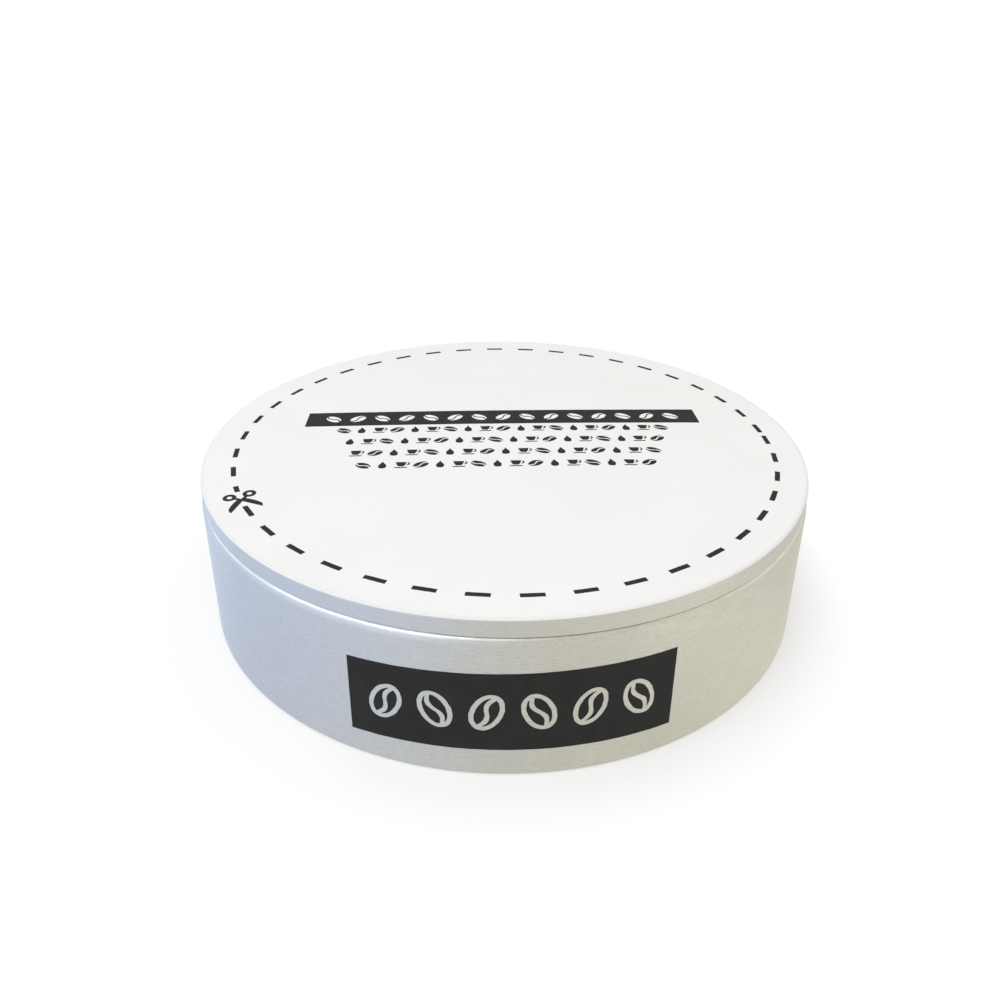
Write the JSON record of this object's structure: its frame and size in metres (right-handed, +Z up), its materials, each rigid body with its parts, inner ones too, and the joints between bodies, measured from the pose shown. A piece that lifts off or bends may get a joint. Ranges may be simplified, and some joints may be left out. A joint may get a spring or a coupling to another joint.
{
  "type": "round storage tin",
  "caption": "Shallow round slip-lid storage tin: a white-topped lift-off lid lies almost flush with a brushed sheet-metal wall that has a stepped neck and a recessed, beaded, seamed-in base.",
  "frame": {"origin": "on the tin's axis, on the surface that it stands on", "axes": "+Z up along the tin's axis, through the lid's top face; -Y is the printed front"},
  "size_m": [0.2006, 0.2006, 0.05],
  "materials": {
    "lid_white": "satin white lacquer on the top face, skirt bare brushed metal",
    "wall_metal": "satin, brushed round the wall",
    "base_metal": "plain rolled tinplate",
    "print_ink": "matt black screen print"
  },
  "bodies": {
    "tin": {"body_wall": "wall_metal", "base_plate": "base_metal"},
    "lid": {"lid_shell": "lid_white"}
  },
  "joints": [
    {"name": "lid_lift", "type": "slide", "parent": "tin", "child": "lid", "axis": [0, 0, 1], "range_m": [0, 0.15]}
  ]
}
